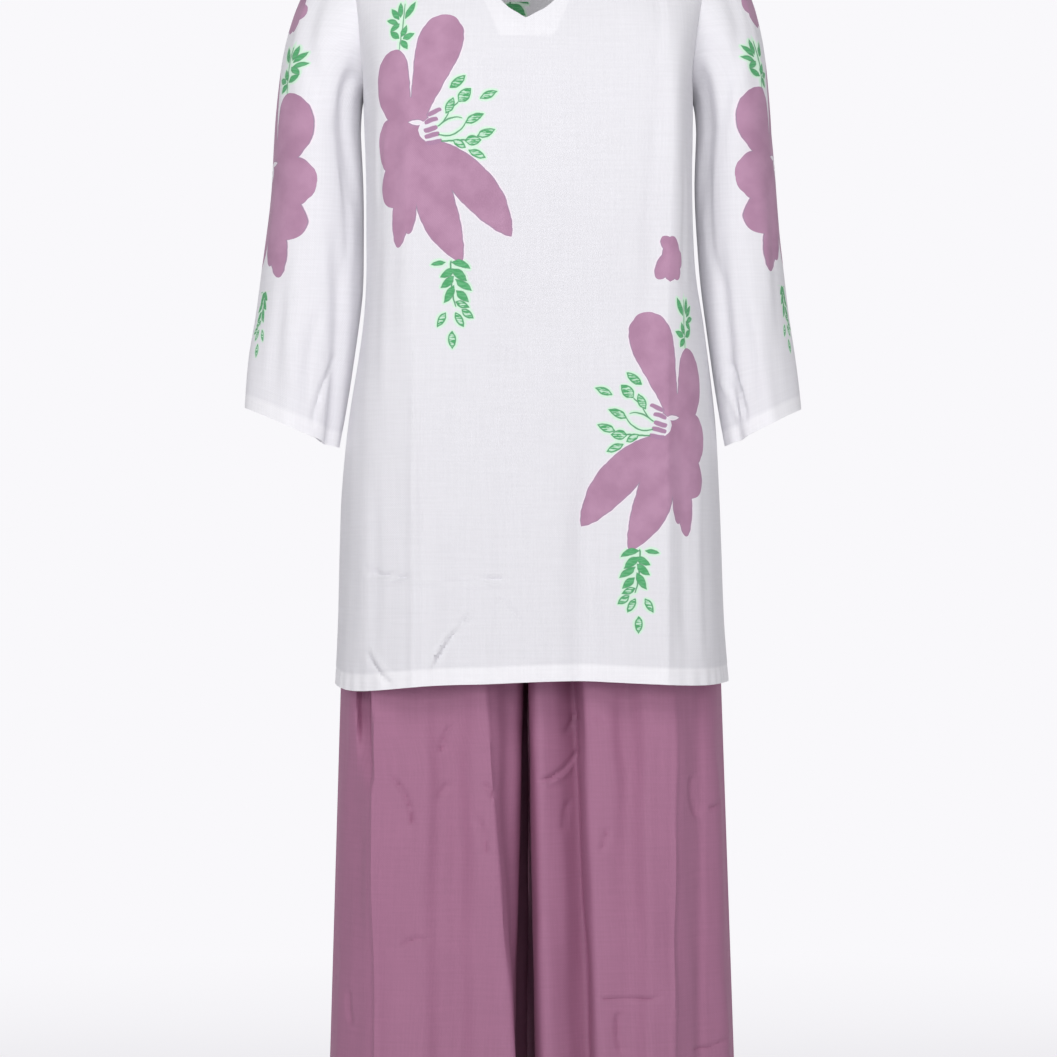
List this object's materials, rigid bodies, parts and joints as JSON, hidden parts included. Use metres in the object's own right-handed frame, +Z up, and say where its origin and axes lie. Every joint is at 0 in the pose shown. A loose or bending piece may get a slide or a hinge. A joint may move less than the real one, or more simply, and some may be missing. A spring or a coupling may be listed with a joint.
{
  "type": "kurta set",
  "caption": "Hollow three-quarter-sleeve kurta with a soft V neck and a large flower print, over plain wide-leg trousers, in the form they have when worn.",
  "frame": {"origin": "middle of the shoulder line, level with the high neck points, where the wearer's shoulders hold the kurta", "axes": "+Z up, -Y to the front, +X to the right of a view from the front"},
  "size_m": [0.554, 0.2449, 1.4301],
  "materials": {
    "kurta_cloth": "white plain-weave viscose with a fine slub, printed with mauve flowers and green leaves",
    "facing_cloth": "the same white plain weave, doubled at the neck",
    "trouser_cloth": "mauve dyed plain-weave viscose, soft matt with a slight sheen"
  },
  "bodies": {
    "root": {"kurta_front": "kurta_cloth", "kurta_back": "kurta_cloth", "kurta_sleeve_left": "kurta_cloth", "kurta_sleeve_right": "kurta_cloth", "kurta_neck_facing": "facing_cloth", "trousers_front_left": "trouser_cloth", "trousers_front_right": "trouser_cloth", "trousers_back_left": "trouser_cloth", "trousers_back_right": "trouser_cloth", "trousers_waistband": "trouser_cloth"}
  },
  "joints": []
}
